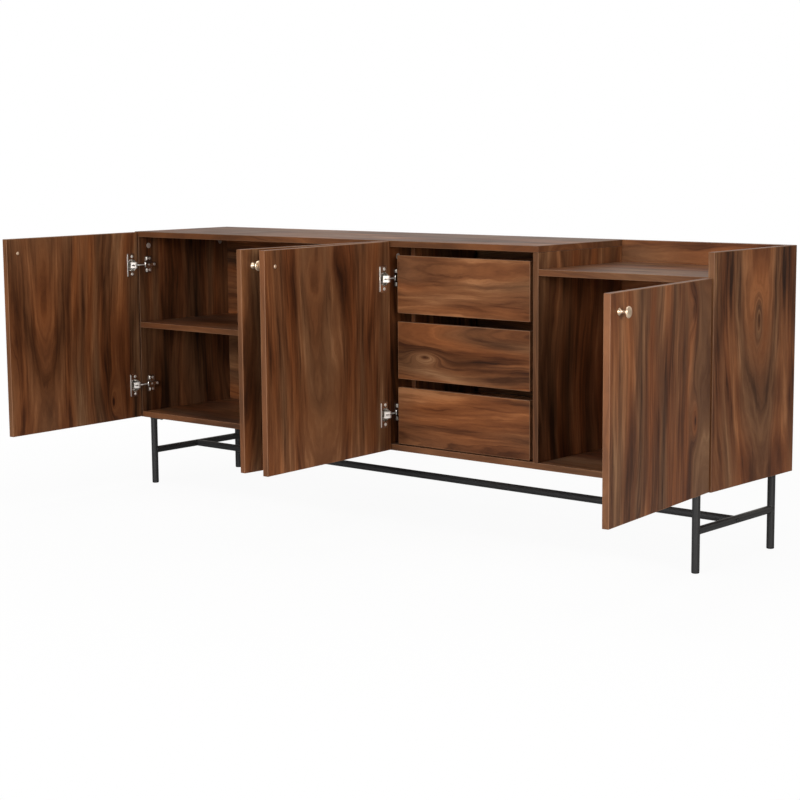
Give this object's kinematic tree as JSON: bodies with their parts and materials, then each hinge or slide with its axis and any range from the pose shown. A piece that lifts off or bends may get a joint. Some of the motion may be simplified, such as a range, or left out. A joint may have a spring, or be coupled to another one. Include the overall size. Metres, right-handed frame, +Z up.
{
  "type": "sideboard",
  "caption": "Long low walnut-look sideboard on black steel legs: hinged doors with brass knobs, inner drawers, a shelf and an open tray at one end.",
  "frame": {"origin": "on the floor, at the centre of the underside of the front left foot", "axes": "+X along the front from left to right as seen from the front, +Y from the front to the back, +Z up"},
  "size_m": [1.9261, 0.8151, 0.7],
  "materials": {
    "walnut_board": "satin walnut-look board",
    "drawer_board": "satin walnut-look board",
    "back_sheet": "thin walnut-look sheet",
    "black_steel": "black powder coat",
    "runner_steel": "dark epoxy coat",
    "brass": "polished",
    "nickel": "nickel plate"
  },
  "bodies": {
    "cabinet": {"top_panel": "walnut_board", "bottom_panel": "walnut_board", "left_side_panel": "walnut_board", "right_side_panel": "walnut_board", "left_divider": "walnut_board", "right_divider": "walnut_board", "cupboard_shelf": "walnut_board", "tray_shelf": "walnut_board", "tray_back_rail": "walnut_board", "back_panel": "back_sheet", "runner_packer": "back_sheet", "left_leg_frame": "black_steel", "right_leg_frame": "black_steel", "long_stretcher": "black_steel", "left_door_upper_arm": "nickel", "left_door_lower_arm": "nickel", "middle_door_upper_arm": "nickel", "middle_door_lower_arm": "nickel", "drawer_door_upper_arm": "nickel", "drawer_door_lower_arm": "nickel", "right_door_upper_arm": "nickel", "right_door_lower_arm": "nickel", "lower_left_runner": "runner_steel", "lower_right_runner": "runner_steel", "middle_left_runner": "runner_steel", "middle_right_runner": "runner_steel", "upper_left_runner": "runner_steel", "upper_right_runner": "runner_steel"},
    "left_door": {"left_door_panel": "walnut_board", "left_door_knob": "brass", "left_door_upper_cup": "nickel", "left_door_lower_cup": "nickel"},
    "middle_door": {"middle_door_panel": "walnut_board", "middle_door_knob": "brass", "middle_door_upper_cup": "nickel", "middle_door_lower_cup": "nickel"},
    "drawer_door": {"drawer_door_panel": "walnut_board", "drawer_door_knob": "brass", "drawer_door_upper_cup": "nickel", "drawer_door_lower_cup": "nickel"},
    "right_door": {"right_door_panel": "walnut_board", "right_door_knob": "brass", "right_door_upper_cup": "nickel", "right_door_lower_cup": "nickel"},
    "lower_drawer": {"lower_drawer_front": "drawer_board", "lower_drawer_left_side": "drawer_board", "lower_drawer_right_side": "drawer_board", "lower_drawer_back": "drawer_board", "lower_drawer_bottom": "back_sheet"},
    "middle_drawer": {"middle_drawer_front": "drawer_board", "middle_drawer_left_side": "drawer_board", "middle_drawer_right_side": "drawer_board", "middle_drawer_back": "drawer_board", "middle_drawer_bottom": "back_sheet"},
    "upper_drawer": {"upper_drawer_front": "drawer_board", "upper_drawer_left_side": "drawer_board", "upper_drawer_right_side": "drawer_board", "upper_drawer_back": "drawer_board", "upper_drawer_bottom": "back_sheet"}
  },
  "joints": [
    {"name": "left_door_hinge", "type": "hinge", "parent": "cabinet", "child": "left_door", "pos_m": [-0.038, -0.02548, 0.4425], "axis": [0, 0, -1], "range_deg": [-87, 13]},
    {"name": "middle_door_hinge", "type": "hinge", "parent": "cabinet", "child": "middle_door", "pos_m": [0.873, -0.02548, 0.4425], "axis": [0, 0, 1], "range_deg": [-87, 0]},
    {"name": "drawer_door_hinge", "type": "hinge", "parent": "cabinet", "child": "drawer_door", "pos_m": [0.887, -0.02548, 0.4425], "axis": [0, 0, -1], "range_deg": [-86, 0]},
    {"name": "right_door_hinge", "type": "hinge", "parent": "cabinet", "child": "right_door", "pos_m": [1.798, -0.02548, 0.416], "axis": [0, 0, 1], "range_deg": [-97, 3]},
    {"name": "lower_drawer_slide", "type": "slide", "parent": "cabinet", "child": "lower_drawer", "axis": [0, -1, 0], "range_m": [0, 0.19]},
    {"name": "middle_drawer_slide", "type": "slide", "parent": "cabinet", "child": "middle_drawer", "axis": [0, -1, 0], "range_m": [0, 0.19]},
    {"name": "upper_drawer_slide", "type": "slide", "parent": "cabinet", "child": "upper_drawer", "axis": [0, -1, 0], "range_m": [0, 0.19]}
  ]
}
